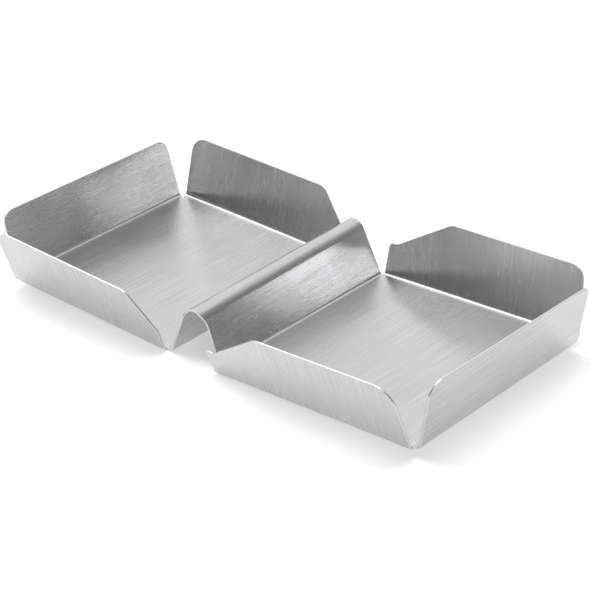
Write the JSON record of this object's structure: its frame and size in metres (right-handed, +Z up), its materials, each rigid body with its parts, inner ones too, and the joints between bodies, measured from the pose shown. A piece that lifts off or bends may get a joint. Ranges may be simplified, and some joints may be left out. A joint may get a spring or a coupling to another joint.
{
  "type": "double counting tray",
  "caption": "Twin shallow counting tray folded from one brushed steel sheet, with flared walls, open corners and a hollow ridge between the trays.",
  "frame": {"origin": "on the table, under the centre of the bounding box", "axes": "+X from the left tray to the right tray, +Y from the front walls to the back walls, +Z up"},
  "size_m": [0.2822, 0.141, 0.0391],
  "materials": {
    "brushed_sheet": "brushed, straight grain from front to back"
  },
  "bodies": {
    "root": {"left_floor": "brushed_sheet", "left_end_wall": "brushed_sheet", "left_front_wall": "brushed_sheet", "left_back_wall": "brushed_sheet", "left_ridge_flank": "brushed_sheet", "ridge_crown": "brushed_sheet", "right_ridge_flank": "brushed_sheet", "right_floor": "brushed_sheet", "right_end_wall": "brushed_sheet", "right_front_wall": "brushed_sheet", "right_back_wall": "brushed_sheet"}
  },
  "joints": []
}
